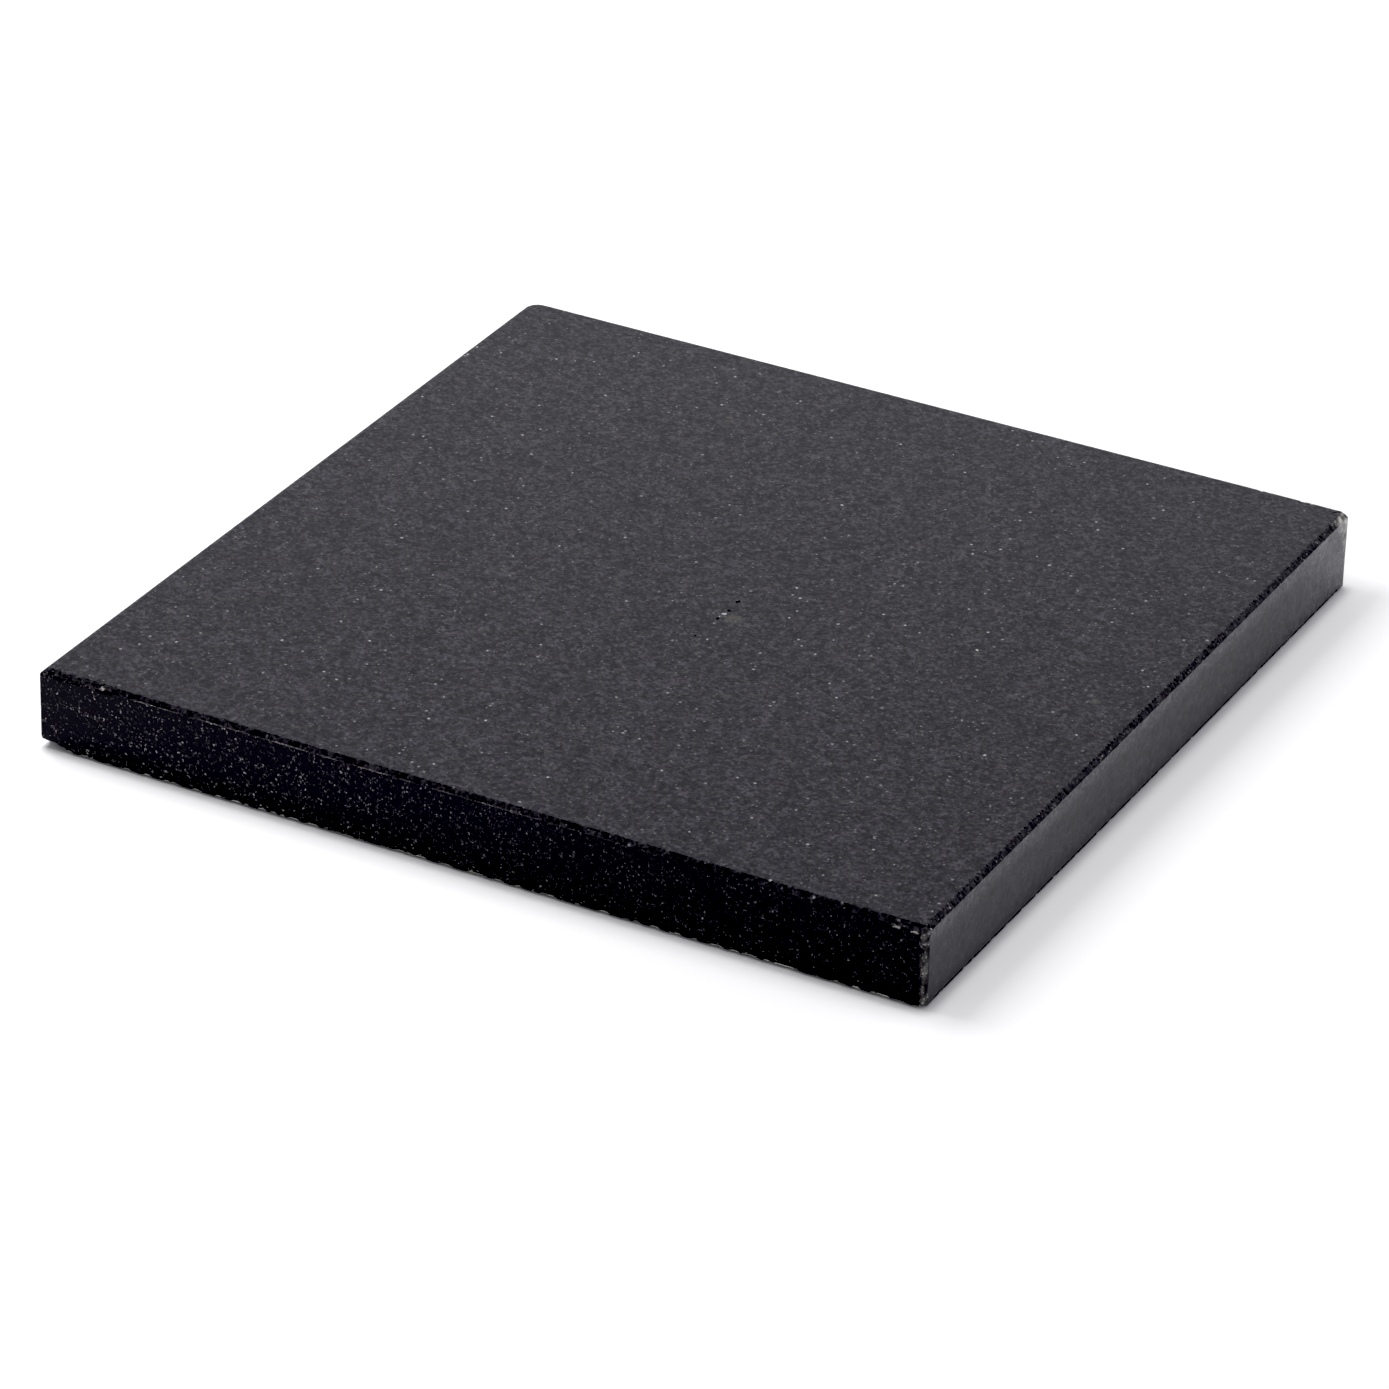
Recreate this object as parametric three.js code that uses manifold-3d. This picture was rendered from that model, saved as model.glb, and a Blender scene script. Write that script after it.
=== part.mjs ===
// A square slab of black granite for leatherwork: a heavy, flat, hard block that lies on the bench under
// the leather while it is stamped, punched, skived or carved.
//
// The real slab is one solid, sawn from one block of stone, so this model is one solid too. It has no
// feet, pad, backing or frame.
//
// Millimetres. +Z is up, the underside lies on Z = 0, and the origin is the middle of the underside.
// -Y is the polished front side and +X is the honed right side.

import * as THREE from 'three';
import { mergeVertices } from 'three/addons/utils/BufferGeometryUtils.js';
import Module from 'manifold-3d';

// The block
const SIDE = 200;
const THICKNESS = 18;

// The arris is the narrow flat that is ground off each long edge so that it doesn't cut or chip.
const TOP_ARRIS = 1.0;
const BOTTOM_ARRIS = 0.5;

// The four upright corners, each as it was finished
const FRONT_RIGHT_FLAT = 1.1;
const BACK_RIGHT_FLAT = 0.9;
const BACK_LEFT_RADIUS = 4;
const ROUND_CORNER_STEPS = 12;

// How far each half of the block runs past the slab, so that the other half's arris is the one left
const OVERRUN = 5;

const HONED_BLACK_GRANITE = new THREE.MeshStandardMaterial({
  color: 0x424146,
  roughness: 0.42,
  metalness: 0,
});

const wasm = await Module();
wasm.setup();

// The slab seen from above, anticlockwise from its sharp front left corner
function planOutline() {
  const half = SIDE / 2;
  const shape = new THREE.Shape();
  shape.moveTo(-half, -half);
  shape.lineTo(half - FRONT_RIGHT_FLAT, -half);
  shape.lineTo(half, -half + FRONT_RIGHT_FLAT);
  shape.lineTo(half, half - BACK_RIGHT_FLAT);
  shape.lineTo(half - BACK_RIGHT_FLAT, half);
  shape.absarc(-half + BACK_LEFT_RADIUS, half - BACK_LEFT_RADIUS, BACK_LEFT_RADIUS, Math.PI / 2, Math.PI, false);
  shape.closePath();
  return shape;
}

// A block on the plan outline from one height to another, with an arris of one size on both its ends
function blockWithArris(bottom, top, arris) {
  const geometry = new THREE.ExtrudeGeometry(planOutline(), {
    depth: top - bottom - 2 * arris,
    bevelEnabled: true,
    bevelSegments: 1,
    bevelThickness: arris,
    bevelSize: arris,
    bevelOffset: -arris,
    curveSegments: ROUND_CORNER_STEPS,
  });
  geometry.translate(0, 0, bottom + arris);
  return geometry;
}

function toSolid(geometry) {
  const bare = geometry.clone();
  bare.deleteAttribute('normal');
  bare.deleteAttribute('uv');
  const merged = mergeVertices(bare);
  return new wasm.Manifold(new wasm.Mesh({
    numProp: 3,
    vertProperties: new Float32Array(merged.attributes.position.array),
    triVerts: new Uint32Array(merged.index.array),
  }));
}

function toGeometry(solid) {
  const mesh = solid.getMesh();
  const geometry = new THREE.BufferGeometry();
  geometry.setAttribute('position', new THREE.BufferAttribute(mesh.vertProperties, 3));
  geometry.setIndex(new THREE.BufferAttribute(mesh.triVerts, 1));
  geometry.computeVertexNormals();
  return geometry;
}

// The two arrises differ, so the slab is what two blocks share: one is right at the top, one at the bottom.
function slabGeometry() {
  const rightAtTheTop = toSolid(blockWithArris(-OVERRUN, THICKNESS, TOP_ARRIS));
  const rightAtTheBottom = toSolid(blockWithArris(0, THICKNESS + OVERRUN, BOTTOM_ARRIS));
  return toGeometry(rightAtTheTop.intersect(rightAtTheBottom));
}

const slab = new THREE.Mesh(slabGeometry(), HONED_BLACK_GRANITE);
slab.name = 'granite_slab';

const part = new THREE.Group();
part.add(slab);

export default part;
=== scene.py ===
"""The looks of a black granite slab for leatherwork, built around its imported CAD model.

The slab is one stone, so it is one piece here too: a closed mesh that keeps the CAD outline and adds what
the saw, the grinder and years on a bench leave behind: ground arrises, chipped edges, worn corners and a few
pits. Blender works in metres. Sizes of the stone are written in millimetres and turned into metres as the
mesh is made.
"""

import math
import random

import bpy
import numpy as np
from mathutils import Matrix, Vector, noise
from mathutils.geometry import delaunay_2d_cdt


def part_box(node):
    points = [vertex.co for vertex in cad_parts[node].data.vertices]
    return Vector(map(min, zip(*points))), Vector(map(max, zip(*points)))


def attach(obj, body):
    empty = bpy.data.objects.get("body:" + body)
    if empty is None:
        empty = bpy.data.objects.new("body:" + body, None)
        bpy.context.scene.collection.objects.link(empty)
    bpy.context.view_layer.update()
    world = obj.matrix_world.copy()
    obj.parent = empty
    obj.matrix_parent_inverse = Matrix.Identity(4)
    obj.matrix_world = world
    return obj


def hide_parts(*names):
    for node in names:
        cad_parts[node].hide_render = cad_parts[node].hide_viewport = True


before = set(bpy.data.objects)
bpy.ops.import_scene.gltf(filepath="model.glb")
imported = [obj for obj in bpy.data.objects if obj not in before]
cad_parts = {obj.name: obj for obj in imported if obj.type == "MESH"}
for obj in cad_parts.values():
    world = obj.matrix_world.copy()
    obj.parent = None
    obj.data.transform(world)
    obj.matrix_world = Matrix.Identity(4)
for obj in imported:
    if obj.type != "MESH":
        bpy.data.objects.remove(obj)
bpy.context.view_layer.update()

MM = 0.001

# The stone's own sizes, as in the CAD model
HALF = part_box("granite_slab")[1][0] / MM
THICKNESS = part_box("granite_slab")[1][2] / MM
TOP_ARRIS = 1.0
BOTTOM_ARRIS = 0.5
FRONT_RIGHT_FLAT = 1.1
BACK_RIGHT_FLAT = 0.9
BACK_LEFT_RADIUS = 4.0

# How the surface is divided: every vertex of the edge band lies where a straight line from the core leaves
# the stone. The core is a rectangle this far inside the sides, as deep as the round corner's radius.
CORE_INSET = BACK_LEFT_RADIUS
STATION_STEP = 0.4
CORNER_STEPS = 24

# Inside this rim the flat faces are filled with triangles on a grid. Around a pit the grid has a gap.
RIM_INSET = 2.8
GRID_STEP = 5.0
PIT_GAP = 2.0
PIT_RINGS = 4
PIT_POINTS = 14

# Along the front's upper arris: where its rough broken left stretch ends, where its wider right stretch
# starts, and how much wider that gets
ROUGH_END = -0.84 * HALF
WIDER_START = HALF - 18
WIDER_BY = 0.4

# Small pits in the top: x, y, length along Y, width along X and depth
PITS = (
    (7.4, -2.6, 1.3, 0.9, 1.1),
    (7.6, -7.0, 0.9, 0.8, 0.9),
    (7.2, -11.2, 1.1, 0.65, 0.8),
    (6.8, -20.0, 0.7, 0.5, 0.3),
)

FRONT, RIGHT, BACK, LEFT = range(4)
SIDE_NORMALS = ((0, -1), (1, 0), (0, 1), (-1, 0))

# The finishes, in the order of the mesh's materials
HONED, SATIN, POLISHED, GROUND, SAWN = range(5)

# A line from the core that misses a chip reaches this far, which is beyond every surface.
MISSED = 9.0

# Edges sharper than this many degrees are shaded as edges.
SHARP_ANGLE = 22


def profile():
    """The rows of the mesh from the underside, round the edge, to the top: inset from the side, and height.
    They lie closest together where the edges chip."""
    upper_edge = THICKNESS - TOP_ARRIS
    rows = [(inset, 0.0) for inset in (RIM_INSET, 1.9, 1.3, 0.85)]
    rows += [(BOTTOM_ARRIS * (1 - part), BOTTOM_ARRIS * part) for part in (0, 0.25, 0.5, 0.75)]
    rows += [(0.0, BOTTOM_ARRIS + rise) for rise in (0, 0.2, 0.45, 0.8, 1.3, 2.1, 3.2, 4.6, 6.2, 8.0)]
    rows += [(0.0, upper_edge - drop) for drop in (7.0, 5.4, 3.9, 2.7, 1.8, 1.2, 0.75, 0.4, 0.17)]
    rows += [(TOP_ARRIS * part, THICKNESS - TOP_ARRIS * (1 - part)) for part in (0, 0.2, 0.4, 0.6, 0.8, 1)]
    rows += [(inset, THICKNESS) for inset in (1.3, 1.7, 2.2, RIM_INSET)]
    return rows


def corner_reach(turn, inset, side):
    """How far the outline lies from the core's corner, in a direction turned from one side towards the
    next, and whether the corner's own flat or round lies there."""
    square = (CORE_INSET - inset) / max(math.cos(turn), math.sin(turn))
    flat = {FRONT: FRONT_RIGHT_FLAT, RIGHT: BACK_RIGHT_FLAT}.get(side)
    if flat:
        middle = (2 * CORE_INSET - flat) / math.sqrt(2)
        eased = (middle - inset) / math.cos(turn - math.pi / 4)
        return min(square, eased), eased < square
    if side == BACK:
        return BACK_LEFT_RADIUS - inset, True
    return square, False


def stations():
    """The places round the outline: core point, outward direction, side, and the turn at a corner."""
    core = HALF - CORE_INSET
    count = round(2 * core / STATION_STEP)
    found = []
    for side, (nx, ny) in enumerate(SIDE_NORMALS):
        tx, ty = -ny, nx
        for step in range(count + 1):
            along = -core + 2 * core * step / count
            found.append(((tx * along + nx * core, ty * along + ny * core), (nx, ny), side, 0.0))
        for step in range(1, CORNER_STEPS):
            turn = math.pi / 2 * step / CORNER_STEPS
            out = (nx * math.cos(turn) + tx * math.sin(turn), ny * math.cos(turn) + ty * math.sin(turn))
            found.append(((tx * core + nx * core, ty * core + ny * core), out, side, turn))
    return found


def nominal_surface(places, rows):
    """The core points and the surface points of the unworn stone, as arrays by station, row and axis."""
    inner = np.zeros((len(places), len(rows), 3))
    outer = np.zeros_like(inner)
    for i, (core, out, side, turn) in enumerate(places):
        for j, (inset, height) in enumerate(rows):
            reach = CORE_INSET - inset if turn == 0 else corner_reach(turn, inset, side)[0]
            level = min(max(height, CORE_INSET), THICKNESS - CORE_INSET)
            inner[i, j] = (core[0], core[1], level)
            outer[i, j] = (core[0] + out[0] * reach, core[1] + out[1] * reach, height)
    return inner, outer


class Stone:
    """The edge band of the slab while it is worn: each line from the core is cut shorter, never longer."""

    def __init__(self):
        self.places = stations()
        self.rows = profile()
        self.inner, self.outer = nominal_surface(self.places, self.rows)
        self.ray = self.outer - self.inner
        self.length = np.linalg.norm(self.ray, axis=2)
        self.reach = np.ones(self.length.shape)
        self.crushed_and_highlighted = np.zeros(self.length.shape)

    def points(self):
        return self.inner + self.ray * self.reach[..., None]

    def scoop(self, center, radius, stretch=(1, 1, 1), pale=0.0):
        """Takes out a rounded chip: an ellipsoid of this radius, stretched along the axes. Each line that
        ends near it is cut where it first meets it, which is the lower root of a quadratic."""
        stretch = np.array(stretch, float)
        widest = radius * stretch.max()
        near = np.abs(self.outer - center).max(axis=2) < 2.5 * widest
        if not near.any():
            return
        start = (self.inner[near] - center) / stretch
        ray = self.ray[near] / stretch
        a = (ray * ray).sum(axis=1)
        b = (start * ray).sum(axis=1)
        c = (start * start).sum(axis=1) - radius * radius
        root = b * b - a * c
        entry = np.where(root > 0, (-b - np.sqrt(np.maximum(root, 0))) / a, MISSED)
        old = self.reach[near]
        hit = (entry > 0) & (entry < old)
        self.reach[near] = np.where(hit, entry, old)
        self.crushed_and_highlighted[near] = np.where(hit, np.maximum(self.crushed_and_highlighted[near], pale), self.crushed_and_highlighted[near])

    def plane_cut(self, point, normal):
        """Takes off what lies beyond a plane."""
        normal = np.array(normal, float)
        speed = self.ray @ normal
        distance = (np.array(point, float) - self.inner) @ normal
        entry = np.where(speed > 1e-9, distance / np.maximum(speed, 1e-9), MISSED)
        self.reach = np.where((entry > 0) & (entry < self.reach), entry, self.reach)

    def ease(self, side, edge, depth, width):
        """Rounds one side's face gently towards the height of an edge: this deep there, and fading within a
        width."""
        rows = [j for j, (inset, _) in enumerate(self.rows) if inset == 0]
        for i, (_, _, own_side, turn) in enumerate(self.places):
            if own_side != side or turn > 0:
                continue
            for j in rows:
                sink = depth * math.exp(-abs(self.rows[j][1] - edge) / width)
                self.reach[i, j] -= sink / CORE_INSET

    def roughen(self, mask, depth, grain, seed):
        """Sinks the masked vertices by up to depth millimetres, unevenly at the scale of the grains."""
        shift = Vector((seed * 17.3, seed * 5.1, seed * 9.7))
        points = self.points()
        for i, j in zip(*np.nonzero(mask)):
            value = noise.noise(Vector(points[i, j]) / grain + shift)
            self.reach[i, j] -= depth * (0.5 + 0.5 * value) / self.length[i, j]


def edge_point(side, along, inset, height):
    """A point on one side of the slab: along it from its middle, in from its face, and up."""
    nx, ny = SIDE_NORMALS[side]
    out = HALF - inset
    return np.array((-ny * along + nx * out, nx * along + ny * out, height))


def chip(stone, side, along, inset, height, radius, bite, slope, stretch, pale):
    """One chip on a long edge: a scoop that bites this deep, from a direction that slopes this many degrees
    up or down from level."""
    slope = math.radians(slope)
    nx, ny = SIDE_NORMALS[side]
    out = np.array((nx * math.cos(slope), ny * math.cos(slope), math.sin(slope)))
    center = edge_point(side, along, inset, height) + out * (radius - bite)
    stone.scoop(center, radius, (1 + abs(ny) * (stretch - 1), 1 + abs(nx) * (stretch - 1), 1), pale)


def chip_edge(stone, draw, side, inset, height, *, spacing, radius, bite, slope, stretch, pale, end=HALF):
    """Chips at uneven spacing along one long edge, from its start to this end. Each pair of numbers is the
    least and the most."""
    along = -HALF
    while along < end:
        along += draw.uniform(*spacing)
        turn = draw.uniform(*slope)
        size = draw.uniform(*radius)
        depth = draw.uniform(*bite)
        longer = draw.uniform(*stretch)
        chip(stone, side, along, inset, height, size, depth, turn, longer, draw.uniform(*pale))


def paint_highlight_line(stone, row, amount, start, end, grain):
    """Paints a thin broken pale line along one row of the front, strongest at its start: a painted highlight
    where the edge would catch the light.
    """
    for i, (core, _, side, turn) in enumerate(stone.places):
        if side != FRONT or turn > 0 or not start < core[0] < end:
            continue
        value = noise.noise(Vector((core[0] / grain, 3.0, 0.5)))
        strength = amount * (end - core[0]) / (end - start) * min(1.0, max(0.0, 0.6 + 1.2 * value))
        # The pale line is a painted highlight, kept in the same mark as the crushed grains.
        stone.crushed_and_highlighted[i, row] = max(stone.crushed_and_highlighted[i, row], strength)


def crush_corner(stone, corner, foot, head, amount, grain):
    """Bruises an upright corner: its grains are crushed unevenly, out to one distance at the foot of the
    slab and to another at its head."""
    for i, j in np.ndindex(stone.reach.shape):
        inset, height = stone.rows[j]
        if inset > TOP_ARRIS:
            continue
        away = math.hypot(stone.outer[i, j, 0] - corner[0], stone.outer[i, j, 1] - corner[1])
        spread = foot + (head - foot) * (height / THICKNESS) ** 3
        if away < 2 * spread:
            value = min(1.0, max(0.0, 0.6 + 0.9 * noise.noise(Vector(stone.outer[i, j]) / grain)))
            fade = math.exp(-(away / spread) ** 6)
            stone.crushed_and_highlighted[i, j] = max(stone.crushed_and_highlighted[i, j], amount * value * fade)


def wear(stone):
    """What use has done to the edges and the corners."""
    draw = random.Random(7)
    wear_front_foot(stone, draw)
    wear_front_arris(stone, draw)
    wear_other_edges(stone, draw)
    wear_corners(stone)
    roughen_cuts(stone)


def wear_front_foot(stone, draw):
    """The front's lower edge is undercut and flaked in a broken pale line. The right side's is rounded."""
    stone.ease(RIGHT, BOTTOM_ARRIS, depth=0.3, width=0.4)
    stone.plane_cut((0, -HALF, BOTTOM_ARRIS), (0, -0.25, -1))
    chip_edge(stone, draw, FRONT, 0.1, 0.35, spacing=(0.8, 6.0), radius=(0.4, 0.7), bite=(0.1, 0.25),
              slope=(-25, 10), stretch=(1.2, 3.5), pale=(0.6, 1.3))


def wear_front_arris(stone, draw):
    """The front's upper arris has a few nicks, a painted highlight along its lower edge, a rough broken
    stretch near the left corner and a wider stretch by the right one, with a chipped lower edge."""
    top = THICKNESS
    foot = top - TOP_ARRIS
    chip_edge(stone, draw, FRONT, 0.0, foot, spacing=(3.0, 14.0), radius=(0.4, 0.7), bite=(0.08, 0.2),
              slope=(0, 45), stretch=(1, 2.2), pale=(0.0, 0.2))
    chip_edge(stone, draw, FRONT, 1.0, top, spacing=(2.0, 9.0), radius=(0.3, 0.6), bite=(0.06, 0.2),
              slope=(45, 90), stretch=(1, 2.2), pale=(0.0, 0.15))
    for inset, height, slope in ((0.0, foot, (0, 60)), (0.5, top - 0.5, (10, 80)), (1.0, top, (30, 90))):
        chip_edge(stone, draw, FRONT, inset, height, spacing=(0.4, 1.0), radius=(0.4, 0.9), bite=(0.1, 0.35),
                  slope=slope, stretch=(1, 1.5), pale=(-0.1, 0.14), end=ROUGH_END)
    chip(stone, FRONT, -85.5, 0.4, top - 0.6, radius=0.6, bite=0.3, slope=45, stretch=1.3, pale=0.9)
    # Painted highlight: a pale line along the lower edge of the front's upper arris.
    paint_highlight_line(stone, stone.rows.index((0.0, foot)), amount=0.5, start=-83, end=85, grain=4.0)
    stone.plane_cut((WIDER_START, -HALF, foot), (WIDER_BY / (HALF - WIDER_START), -1, 1))
    chip(stone, FRONT, 93.5, 0.0, top - 1.35, radius=0.4, bite=0.16, slope=10, stretch=2.4, pale=0.7)
    chip(stone, FRONT, 97.3, 0.0, top - 1.45, radius=0.4, bite=0.16, slope=10, stretch=2.6, pale=0.8)


def wear_other_edges(stone, draw):
    """The other long edges are nibbled by the grinder and by use."""
    top = THICKNESS
    foot = top - TOP_ARRIS
    chip_edge(stone, draw, RIGHT, 1.0, top, spacing=(0.6, 2.2), radius=(0.25, 0.5), bite=(0.08, 0.28),
              slope=(50, 90), stretch=(0.7, 1.5), pale=(0, 0.12))
    chip_edge(stone, draw, RIGHT, 0.5, top - 0.5, spacing=(0.6, 2.0), radius=(0.25, 0.5), bite=(0.08, 0.2),
              slope=(30, 70), stretch=(0.7, 1.5), pale=(0, 0.2))
    chip_edge(stone, draw, RIGHT, 0.0, foot, spacing=(1.0, 4.0), radius=(0.25, 0.4), bite=(0.04, 0.15),
              slope=(0, 40), stretch=(0.7, 1.5), pale=(0, 0.3))
    chip_edge(stone, draw, RIGHT, 0.2, 0.2, spacing=(3.0, 12.0), radius=(0.5, 1.0), bite=(0.1, 0.3),
              slope=(-60, -20), stretch=(1, 2.2), pale=(0, 0.2))
    chip_edge(stone, draw, BACK, 0.2, 0.2, spacing=(1.5, 8.0), radius=(0.5, 1.1), bite=(0.1, 0.35),
              slope=(-50, -15), stretch=(1, 2.6), pale=(0.2, 0.9))
    chip_edge(stone, draw, BACK, 0.4, top - 0.6, spacing=(2.0, 9.0), radius=(0.4, 0.9), bite=(0.1, 0.3),
              slope=(0, 90), stretch=(1, 2.2), pale=(0, 0.3))
    chip_edge(stone, draw, LEFT, 0.2, 0.2, spacing=(3.0, 12.0), radius=(0.5, 1.0), bite=(0.1, 0.3),
              slope=(-60, -20), stretch=(1, 2.2), pale=(0, 0.2))
    chip_edge(stone, draw, LEFT, 0.8, top, spacing=(0.6, 2.4), radius=(0.3, 0.6), bite=(0.1, 0.3),
              slope=(45, 85), stretch=(0.7, 1.5), pale=(0, 0.12))


def wear_corners(stone):
    """The front right corner is bruised, the back right one has a pale patch that narrows downwards, and the
    lower front left corner is broken off."""
    top = THICKNESS
    crush_corner(stone, (HALF, -HALF), foot=1.3, head=1.5, amount=0.4, grain=0.8)
    crush_corner(stone, (HALF, HALF), foot=1.2, head=7.5, amount=0.95, grain=1.5)
    stone.scoop((HALF + 0.9, -HALF - 0.9, top + 0.9), 2.1, pale=0.3)
    stone.scoop((HALF + 1.0, -HALF - 1.0, -0.8), 2.8, pale=0.35)
    stone.scoop((HALF + 1.5, HALF + 1.5, top + 0.5), 2.6, pale=0.4)
    stone.scoop((HALF + 1.3, HALF + 1.0, -1.3), 2.6, pale=0.3)
    stone.scoop((-HALF - 0.5, -HALF - 1.5, -4.5), 6.6, stretch=(1.9, 1, 1))


def roughen_cuts(stone):
    """Gives the ground arrises, the chips and the eased corners the rough surface of cut stone."""
    sides = np.array([place[2] for place in stone.places])
    on_arris = np.array([0 < inset <= TOP_ARRIS and height > CORE_INSET for inset, height in stone.rows])
    for side, depth in ((FRONT, 0.03), (RIGHT, 0.09), (BACK, 0.05), (LEFT, 0.09)):
        stone.roughen((sides == side)[:, None] & on_arris[None, :], depth, grain=0.45, seed=1)
    stone.roughen(stone.reach < 0.97, 0.06, grain=0.3, seed=2)
    eased = [turn > 0 and corner_reach(turn, 0, side)[1] for _, _, side, turn in stone.places]
    in_corner = np.array(eased) & (sides != BACK)
    stone.roughen(np.repeat(in_corner[:, None], len(stone.rows), axis=1), 0.14, grain=1.1, seed=3)


def build_mesh(stone):
    """Joins the worn edge band to the flat top and underside in one closed mesh."""
    points = stone.points()
    count, height = points.shape[:2]
    vertices = [tuple(p) for p in points.reshape(-1, 3)]
    crushed_and_highlighted = list(stone.crushed_and_highlighted.reshape(-1))
    faces = []
    slots = []
    for i in range(count):
        following = (i + 1) % count
        side, corner = side_and_corner(stone.places[i], stone.places[following])
        for j in range(height - 1):
            here = i * height + j
            beside = following * height + j
            faces.append((here, beside, beside + 1, here + 1))
            slots.append(finish_of(side, corner, stone.rows[j], stone.rows[j + 1]))
    for row, level, pits, slot in ((height - 1, THICKNESS, PITS, HONED), (0, 0.0, (), SAWN)):
        rim = [i * height + row for i in range(count)]
        cap_faces, cap_points = cap([vertices[k] for k in rim], level, pits)
        index = rim + list(range(len(vertices), len(vertices) + len(cap_points)))
        vertices += cap_points
        crushed_and_highlighted += [0.0] * len(cap_points)
        for face in cap_faces:
            faces.append(tuple(index[k] for k in face))
            slots.append(slot)
    mesh = bpy.data.meshes.new("stone_slab")
    mesh.from_pydata([(x * MM, y * MM, z * MM) for x, y, z in vertices], [], faces)
    mesh.polygons.foreach_set("material_index", slots)
    # The mark of crushed stone, which also carries the painted highlight along the front arris.
    mesh.attributes.new("crushed_and_highlighted", "FLOAT", "POINT").data.foreach_set("value", crushed_and_highlighted)
    return mesh


def side_and_corner(place, next_place):
    """Which side the strip between two stations belongs to, and whether it is an eased corner instead."""
    side, turn = place[2:]
    if turn == 0 and next_place[3] == 0 and next_place[2] == side:
        return side, False
    next_turn = next_place[3] if next_place[2] == side else math.pi / 2
    middle = (turn + next_turn) / 2
    if corner_reach(middle, 0, side)[1]:
        return side, True
    return (side if middle < math.pi / 4 else (side + 1) % 4), False


def finish_of(side, corner, row, next_row):
    """Which finish a face of the edge band has."""
    if next_row[1] == 0:
        return SAWN
    if row[1] == THICKNESS:
        return HONED
    if corner or row[0] > 0 or next_row[0] > 0:
        return GROUND
    return POLISHED if side in (FRONT, BACK) else SATIN


def pit_rings(pit, level):
    """The outline of a pit and the rings inside it, each smaller and deeper."""
    x, y, length, width, depth = pit
    rings = []
    for part in range(PIT_RINGS):
        scale = math.cos(math.pi / 2 * part / PIT_RINGS) / 2
        sink = depth * math.sin(math.pi / 2 * part / PIT_RINGS)
        ring = []
        for step in range(PIT_POINTS):
            turn = 2 * math.pi * step / PIT_POINTS
            across, along = math.cos(turn), math.sin(turn)
            reach = scale * (1 + 0.4 * noise.noise(Vector((x + across, y + along, 0.3))))
            ring.append((x + width * reach * across, y + length * reach * along, level - sink))
        rings.append(ring)
    return rings


def cap(rim, level, pits):
    """Fills the flat inside a rim with triangles on a grid, and sinks its pits. Gives the faces, by the
    places of their corners in the rim and the new points, and the new points."""
    count = int((HALF - RIM_INSET - 1) / GRID_STEP)
    steps = [step * GRID_STEP for step in range(-count, count + 1)]
    grid = [(x, y) for x in steps for y in steps]
    grid = [p for p in grid if all(math.hypot(p[0] - pit[0], p[1] - pit[1]) > PIT_GAP for pit in pits)]
    points = [(x, y, level) for x, y in grid]
    edges = []
    outlines = []
    for pit in pits:
        start = len(rim) + len(points)
        outlines.append(range(start, start + PIT_POINTS))
        edges += [(start + k, start + (k + 1) % PIT_POINTS) for k in range(PIT_POINTS)]
        points += pit_rings(pit, level)[0]
    flat = [Vector(p[:2]) for p in rim + points]
    made = delaunay_2d_cdt(flat, edges, [list(range(len(rim)))], 1, 1e-5)
    assert len(made[0]) == len(flat)
    open_pits = [face for outline in outlines for face in made[2] if in_outline(face, outline, flat)]
    faces = [face for face in made[2] if face not in open_pits]
    if level == 0:
        faces = [tuple(reversed(face)) for face in faces]
    for pit, outline in zip(pits, outlines):
        ring = list(outline)
        for inner in pit_rings(pit, level)[1:]:
            start = len(rim) + len(points)
            points += inner
            following = list(range(start, start + PIT_POINTS))
            faces += ring_faces(ring, following)
            ring = following
        points.append((pit[0], pit[1], level - pit[4]))
        bottom = len(rim) + len(points) - 1
        faces += [(ring[k], ring[(k + 1) % PIT_POINTS], bottom) for k in range(PIT_POINTS)]
    return faces, points


def in_outline(face, outline, points):
    """Whether a triangle lies inside the outline of a pit. Outside it, in a hollow of the outline, its
    corners are on the outline too, but they go round it the other way."""
    if not set(face) <= set(outline):
        return False
    first, second, third = (points[k] for k in sorted(face))
    return (second - first).cross(third - first) > 0


def ring_faces(outer, inner):
    """The faces between two rings of a pit."""
    count = len(outer)
    return [(outer[k], outer[(k + 1) % count], inner[(k + 1) % count], inner[k]) for k in range(count)]


def make_slab():
    stone = Stone()
    wear(stone)
    mesh = build_mesh(stone)
    slab = bpy.data.objects.new("stone_slab", mesh)
    bpy.context.scene.collection.objects.link(slab)
    for make in (honed, satin, polished, ground, sawn):
        mesh.materials.append(make())
    mesh.shade_smooth()
    mesh.set_sharp_from_angle(angle=math.radians(SHARP_ANGLE))
    return slab


# Materials


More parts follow.
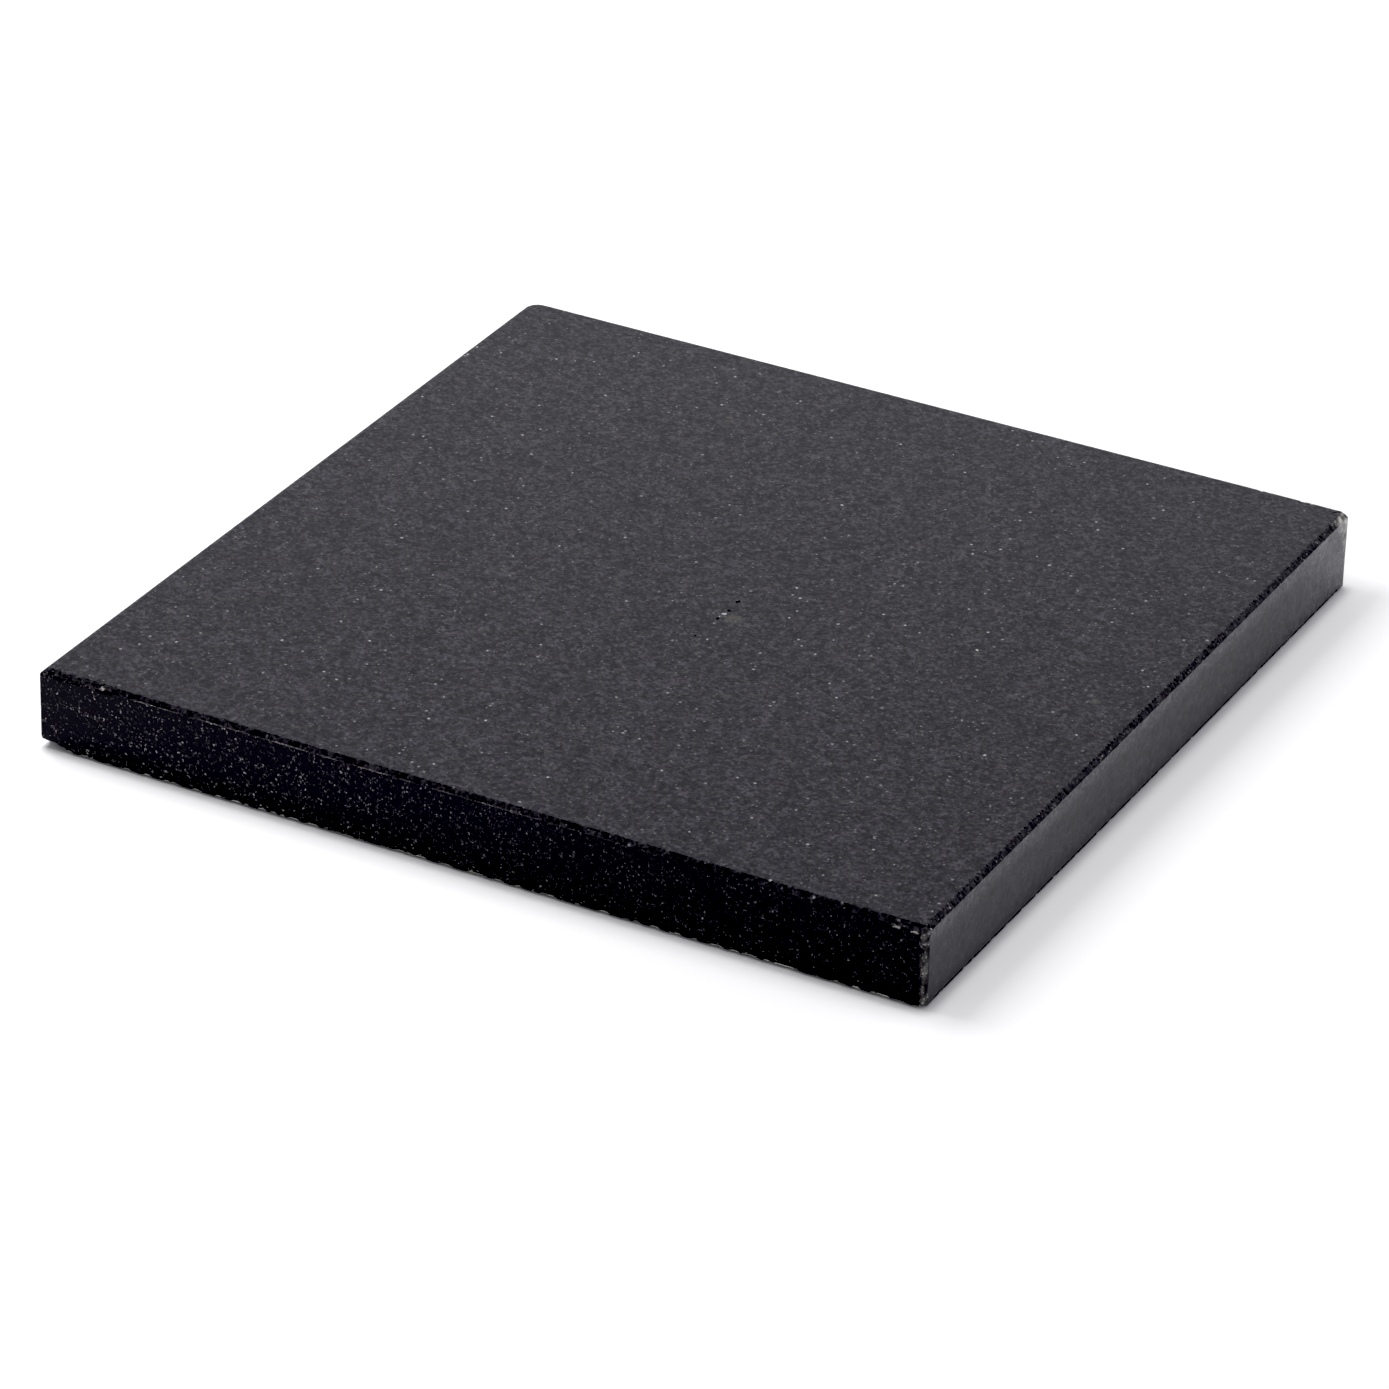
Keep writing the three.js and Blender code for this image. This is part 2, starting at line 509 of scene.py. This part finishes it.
class Tree:
    """A new material's node tree, with short ways to add nodes and join them."""

    def __init__(self, name):
        self.material = bpy.data.materials.new(name)
        self.material.use_nodes = True
        self.nodes = self.material.node_tree.nodes
        self.shader = self.nodes["Principled BSDF"]

    def link(self, value, socket):
        if isinstance(value, bpy.types.NodeSocket):
            self.material.node_tree.links.new(value, socket)
        else:
            socket.default_value = value

    def math(self, operation, *values, clamp=False):
        node = self.nodes.new("ShaderNodeMath")
        node.operation = operation
        node.use_clamp = clamp
        for value, socket in zip(values, node.inputs):
            self.link(value, socket)
        return node.outputs[0]

    def ramp(self, value, low, high, to_low=0.0, to_high=1.0):
        """A smooth step from one number to another, while a value goes from low to high."""
        node = self.nodes.new("ShaderNodeMapRange")
        node.interpolation_type = "SMOOTHSTEP"
        for socket, number in zip(node.inputs, (value, low, high, to_low, to_high)):
            self.link(number, socket)
        return node.outputs[0]

    def mix(self, amount, first, second):
        """Mixes two colours, whose sockets have the same names as those for numbers, so they go by place."""
        node = self.nodes.new("ShaderNodeMix")
        node.data_type = "RGBA"
        self.link(amount, node.inputs["Factor"])
        self.link(first, node.inputs[6])
        self.link(second, node.inputs[7])
        return node.outputs[2]

    def millimetres(self):
        """The place in the stone, in millimetres."""
        place = self.nodes.new("ShaderNodeTexCoord")
        scale = self.nodes.new("ShaderNodeVectorMath")
        scale.operation = "SCALE"
        self.link(place.outputs["Object"], scale.inputs[0])
        scale.inputs["Scale"].default_value = 1 / MM
        return scale.outputs[0]

    def crooked(self, place, amount=0.5, size=0.6, back=0.0):
        """Shifts a place unevenly by up to this amount, at this scale, so that the grains aren't round. With
        half of the shift taken back it goes both ways, and with none it goes one way."""
        wander = self.nodes.new("ShaderNodeTexNoise")
        self.link(place, wander.inputs["Vector"])
        wander.inputs["Scale"].default_value = 1 / size
        centred = self.nodes.new("ShaderNodeVectorMath")
        centred.operation = "SUBTRACT"
        self.link(wander.outputs["Color"], centred.inputs[0])
        centred.inputs[1].default_value = (back, back, back)
        shift = self.nodes.new("ShaderNodeVectorMath")
        shift.operation = "MULTIPLY_ADD"
        self.link(centred.outputs[0], shift.inputs[0])
        shift.inputs[1].default_value = (amount, amount, amount)
        self.link(place, shift.inputs[2])
        return shift.outputs[0]

    def split(self, place):
        node = self.nodes.new("ShaderNodeSeparateXYZ")
        self.link(place, node.inputs[0])
        return node.outputs

    def distance(self, place, point):
        node = self.nodes.new("ShaderNodeVectorMath")
        node.operation = "DISTANCE"
        self.link(place, node.inputs[0])
        node.inputs[1].default_value = point
        return node.outputs["Value"]

    def cells(self, place, size):
        """Cells of a size: the distance from the middle of each, and two random numbers for it."""
        node = self.nodes.new("ShaderNodeTexVoronoi")
        self.link(place, node.inputs["Vector"])
        node.inputs["Scale"].default_value = 1 / size
        split = self.nodes.new("ShaderNodeSeparateColor")
        self.link(node.outputs["Color"], split.inputs[0])
        return node.outputs["Distance"], split.outputs[0], split.outputs[1]

    def noise(self, place, size, detail=2.0):
        node = self.nodes.new("ShaderNodeTexNoise")
        self.link(place, node.inputs["Vector"])
        node.inputs["Scale"].default_value = 1 / size
        node.inputs["Detail"].default_value = detail
        return node.outputs[0]

    def attribute(self, name):
        node = self.nodes.new("ShaderNodeAttribute")
        node.attribute_name = name
        return node.outputs["Fac"]

    def bump(self, height, distance):
        """Gives the finish a fine relief, as high as this distance in metres."""
        node = self.nodes.new("ShaderNodeBump")
        node.inputs["Distance"].default_value = distance
        self.link(height, node.inputs["Height"])
        self.link(node.outputs[0], self.shader.inputs["Normal"])


# The stone's minerals and its crushed grains, whose pale also paints the highlight along the front arris, and
# the tints of its shine
DARK = (0.0013, 0.0010, 0.0026, 1)
LIGHT = (0.084, 0.080, 0.090, 1)
PALE = (0.37, 0.37, 0.38, 1)
BRIGHT = (0.55, 0.54, 0.55, 1)
CREAM = (0.17, 0.165, 0.125, 1)
CRUSHED_AND_HIGHLIGHT = (0.52, 0.51, 0.47, 1)
SHEEN = (0.93, 0.91, 1.0, 1)
COOL_SHEEN = (0.86, 0.85, 1.0, 1)

# The sizes of the minerals: single grains, the clusters and clouds that they gather in, the grains and the
# flecks that show pale, the bits that crushed stone breaks into, and the specks that shine through a polish
SMALL_GRAIN = 0.5
BIG_GRAIN = 0.95
CLUSTER = 2.2
CLOUD = 9.0
PALE_GRAIN = 0.8
FLECK_SPACING = 2.0
CRUSHED_GRAIN = 0.35
POLISHED_SPECK = 0.52

# The largest mineral spots in the top: x, y and size
WHITE_SPOTS = (
    (59, 4, 1.0),
    (6, 47, 0.9),
    (32, -7, 0.8),
    (15, 9, 0.8),
    (-49, -56, 0.9),
    (36, -31, 0.8),
    (7.6, -8.8, 1.0),
    (7.3, -10.2, 0.8),
)
CREAM_SPOTS = (
    (89, -3, 3.0),
    (88, -22, 2.0),
    (-34, 71, 2.2),
    (-22, 69, 1.8),
    (-47, 92, 1.8),
    (60, 2, 1.8),
    (83, -59, 1.6),
    (46, -46, 1.5),
    (9, -82, 1.6),
    (10.3, -9.6, 5.0),
)


def stone_colour(tree, place, lightness, flecks):
    """The minerals, the same all through the stone. A finish says how light its grains are, and how much of
    the pale flecks it shows."""
    _, small, _ = tree.cells(place, SMALL_GRAIN)
    _, big, _ = tree.cells(place, BIG_GRAIN)
    cluster = tree.noise(place, CLUSTER)
    slow = tree.noise(place, CLOUD)
    tone = 0.0
    for part, share in ((small, 0.34), (big, 0.28), (cluster, 0.28), (slow, 0.12)):
        tone = tree.math("MULTIPLY_ADD", part, share, tone)
    base = tree.mix(tree.math("MULTIPLY", tree.math("POWER", tone, 2.5), lightness), DARK, LIGHT)
    grains = tree.math("MULTIPLY", pale_cells(tree, place, PALE_GRAIN, (0.12, 0.4), 0.86), 0.28)
    spots = pale_cells(tree, place, FLECK_SPACING, (0.07, 0.2), 0.66)
    spots = tree.math("MULTIPLY", spots, tree.ramp(slow, 0.38, 0.6, 0.3, 0.85))
    shown = tree.math("MULTIPLY", tree.math("MAXIMUM", grains, spots), flecks)
    return tree.mix(shown, base, PALE)


def pale_cells(tree, place, size, edge, rarity):
    """Which of the cells show a pale middle: those whose random number is above the rarity, the more so the
    higher it is. The middle fades out between the two distances of its edge."""
    distance, pick, _ = tree.cells(place, size)
    return tree.math("MULTIPLY", tree.ramp(distance, *edge, 1.0, 0.0), tree.ramp(pick, rarity, 1.0))


def finish(tree, place, base, roughness, ior, sheen=SHEEN):
    """Joins a finish to its shader. Where the stone is crushed, more of its grains show pale; the same mark
    also carries the painted highlight along the front's upper arris.
    """
    crushed_and_highlighted = tree.attribute("crushed_and_highlighted")
    _, pick, shade = tree.cells(place, CRUSHED_GRAIN)
    broken = tree.ramp(tree.math("SUBTRACT", crushed_and_highlighted, pick), 0.0, 0.12)
    broken = tree.math("MULTIPLY", broken, tree.math("MULTIPLY_ADD", shade, 0.4, 0.12))
    # The pale mix holds the crushed grains and the painted highlight of the front arris.
    amount = tree.math("MAXIMUM", broken, tree.math("POWER", crushed_and_highlighted, 1.8), clamp=True)
    rougher = tree.math("ADD", roughness, tree.math("MULTIPLY", amount, 0.3))
    tree.link(tree.mix(amount, base, CRUSHED_AND_HIGHLIGHT), tree.shader.inputs["Base Color"])
    tree.link(rougher, tree.shader.inputs["Roughness"])
    tree.shader.inputs["IOR"].default_value = ior
    tree.shader.inputs["Specular Tint"].default_value = sheen
    return tree.material


def scattered(tree, place, spots):
    """How far a place lies inside any of the spots."""
    shown = 0.0
    for x, y, size in spots:
        distance = tree.distance(place, (x, y, THICKNESS))
        shown = tree.math("MAXIMUM", tree.ramp(distance, size * 0.2, size * 0.5, 1.0, 0.0), shown)
    return shown


def honed():
    tree = Tree("honed_granite")
    place = tree.crooked(tree.millimetres())
    base = stone_colour(tree, place, lightness=1.0, flecks=1.0)
    ragged = tree.crooked(tree.millimetres(), 1.6, 1.1, back=0.5)
    for spots, strength, colour in ((CREAM_SPOTS, 0.17, CREAM), (WHITE_SPOTS, 0.8, PALE)):
        base = tree.mix(tree.math("MULTIPLY", scattered(tree, ragged, spots), strength), base, colour)
    tree.bump(tree.noise(place, 0.5, detail=1.0), 0.008 * MM)
    return finish(tree, place, base, roughness=0.38, ior=1.22)


def satin():
    """Smoother than the honed top, with a mottled gloss. Its colour holds painted light: a painted highlight
    by the upper arris, painted shade lower down, and a painted reflection towards the back end.
    """
    tree = Tree("satin_granite")
    place = tree.crooked(tree.millimetres())
    _, along, height = tree.split(place)
    # Painted highlight and shade: the colour is much lighter by the upper arris and darker lower down.
    lightness = tree.ramp(height, 12.5, 16.8, 0.35, 2.2)
    # Painted reflection: the colour grows lighter towards the back end.
    lightness = tree.math("ADD", lightness, tree.ramp(along, 0.55 * HALF, HALF, 0.0, 1.3))
    base = stone_colour(tree, place, lightness, flecks=0.4)
    gloss = tree.math("MULTIPLY_ADD", tree.noise(place, 1.8, detail=3.0), 0.3, 0.15)
    tree.bump(tree.noise(place, 1.6, detail=3.0), 0.03 * MM)
    return finish(tree, place, base, roughness=gloss, ior=1.35, sheen=COOL_SHEEN)


def polished():
    """Almost black, with pale grains that show through. More and brighter ones show towards the slab's left
    end: painted light from that side.
    """
    tree = Tree("polished_granite")
    place = tree.crooked(tree.millimetres(), 1.3, 0.42)
    # Painted light: more pale grains and brighter specks towards the left end, falling off to the right.
    painted_light_from_left = tree.ramp(tree.split(place)[0], -HALF * 1.1, HALF * 0.9, 1.35, 0.4)
    base = stone_colour(tree, place, lightness=0.03, flecks=tree.math("MULTIPLY", painted_light_from_left, 0.35))
    edge, pick, shade = tree.cells(place, POLISHED_SPECK)
    specks = tree.math("MULTIPLY", tree.ramp(edge, 0.06, 0.44, 1.0, 0.0), tree.ramp(pick, 0.62, 1.0))
    brightness = tree.math("MULTIPLY_ADD", tree.math("POWER", shade, 2.0), 0.9, 0.2)
    specks = tree.math("MULTIPLY", specks, brightness)
    base = tree.mix(tree.math("MULTIPLY", specks, painted_light_from_left), base, BRIGHT)
    return finish(tree, place, base, roughness=0.15, ior=1.29)


def ground():
    tree = Tree("ground_granite")
    place = tree.crooked(tree.millimetres())
    base = stone_colour(tree, place, lightness=0.9, flecks=1.0)
    tree.bump(tree.noise(place, 0.4, detail=2.0), 0.04 * MM)
    return finish(tree, place, base, roughness=0.5, ior=1.15)


def sawn():
    tree = Tree("sawn_granite")
    place = tree.crooked(tree.millimetres())
    base = stone_colour(tree, place, lightness=1.2, flecks=1.0)
    return finish(tree, place, base, roughness=0.9, ior=1.12)


# The studio

FLOOR_SIZE = 12.0

# The sky's colour, its strength low down and high up, and the part of it that is left in front
SKY_TINT = (0.985, 0.98, 1.03, 1)
SKY_LOW, SKY_HIGH = 1.95, 0.4
FRONT_SKY = 0.35

# The softboxes, in metres and watts
OVERHEAD = {"place": (-0.12, 0.14, 2.5), "size": 0.46, "power": 25}
SIDE_LIGHT = {"place": (-0.26, -0.02, 0.48), "size": 0.28, "power": 1.8}

# The light that the print leaves out of its blacks
BLACK_POINT = 0.023

# The camera: the direction that it looks from, in degrees round from the front and up from level, its roll in
# degrees, its place in metres, its lens in millimetres, and its shift in picture widths
CAMERA_AZIMUTH = 27.648
CAMERA_PITCH = 29.016
CAMERA_ROLL = 1.53
CAMERA_PLACE = (0.5608, -1.0769, 0.6659)
CAMERA_LENS = 172.5
CAMERA_SHIFT = (-0.0006, 0.0007)


def matt(name, colour):
    material = bpy.data.materials.new(name)
    material.use_nodes = True
    shader = material.node_tree.nodes["Principled BSDF"]
    shader.inputs["Base Color"].default_value = colour
    shader.inputs["Roughness"].default_value = 1.0
    shader.inputs["Specular IOR Level"].default_value = 0.0
    return material


def make_floor():
    half = FLOOR_SIZE / 2
    mesh = bpy.data.meshes.new("floor")
    corners = [(-half, -half, 0), (half, -half, 0), (half, half, 0), (-half, half, 0)]
    mesh.from_pydata(corners, [], [(0, 1, 2, 3)])
    mesh.materials.append(matt("white_paper", (0.85, 0.85, 0.85, 1)))
    floor = bpy.data.objects.new("floor", mesh)
    bpy.context.scene.collection.objects.link(floor)


def make_sky():
    """A white studio that is bright low down, where its walls are, and dimmer towards its ceiling and in
    front."""
    world = bpy.data.worlds.new("studio")
    world.use_nodes = True
    nodes = world.node_tree.nodes
    links = world.node_tree.links
    background = nodes["Background"]
    background.inputs["Color"].default_value = SKY_TINT
    direction = nodes.new("ShaderNodeTexCoord")
    split = nodes.new("ShaderNodeSeparateXYZ")
    links.new(direction.outputs["Generated"], split.inputs[0])
    strength = nodes.new("ShaderNodeMath")
    strength.operation = "MULTIPLY"
    upwards = ("Z", 0.3, 0.65, SKY_LOW, SKY_HIGH)
    backwards = ("Y", -0.8, 0.0, FRONT_SKY, 1.0)
    for k, (axis, *numbers) in enumerate((upwards, backwards)):
        fade = nodes.new("ShaderNodeMapRange")
        fade.interpolation_type = "SMOOTHSTEP"
        for name, number in zip(("From Min", "From Max", "To Min", "To Max"), numbers):
            fade.inputs[name].default_value = number
        links.new(split.outputs[axis], fade.inputs["Value"])
        links.new(fade.outputs["Result"], strength.inputs[k])
    links.new(strength.outputs[0], background.inputs["Strength"])
    bpy.context.scene.world = world


def make_softbox(name, place, size, power):
    """A square light that looks at the middle of the slab."""
    light = bpy.data.lights.new(name, "AREA")
    light.size = size
    light.energy = power
    softbox = bpy.data.objects.new(name, light)
    softbox.location = place
    softbox.rotation_euler = Vector(place).to_track_quat("Z", "Y").to_euler()
    bpy.context.scene.collection.objects.link(softbox)


def make_camera():
    lens = bpy.data.cameras.new("camera")
    lens.sensor_width = 36
    lens.lens = CAMERA_LENS
    lens.shift_x, lens.shift_y = CAMERA_SHIFT
    camera = bpy.data.objects.new("camera", lens)
    azimuth = math.radians(CAMERA_AZIMUTH)
    pitch = math.radians(CAMERA_PITCH)
    level = math.cos(pitch)
    back = Vector((math.sin(azimuth) * level, -math.cos(azimuth) * level, math.sin(pitch)))
    roll = Matrix.Rotation(math.radians(CAMERA_ROLL), 3, "Z").to_quaternion()
    turn = back.to_track_quat("Z", "Y") @ roll
    camera.location = CAMERA_PLACE
    camera.rotation_euler = turn.to_euler()
    bpy.context.scene.collection.objects.link(camera)
    bpy.context.scene.camera = camera


def make_print():
    """The tones of a product print: no film look, and the last trace of light in the blacks is dropped."""
    view = bpy.context.scene.view_settings
    view.view_transform = "Standard"
    view.look = "None"
    view.use_curve_mapping = True
    view.curve_mapping.black_level = (BLACK_POINT, BLACK_POINT, BLACK_POINT)
    view.curve_mapping.update()


make_camera()
make_print()
make_floor()
make_sky()
make_softbox("overhead", **OVERHEAD)
make_softbox("side_light", **SIDE_LIGHT)
slab = make_slab()
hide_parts("granite_slab")
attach(slab, "root")
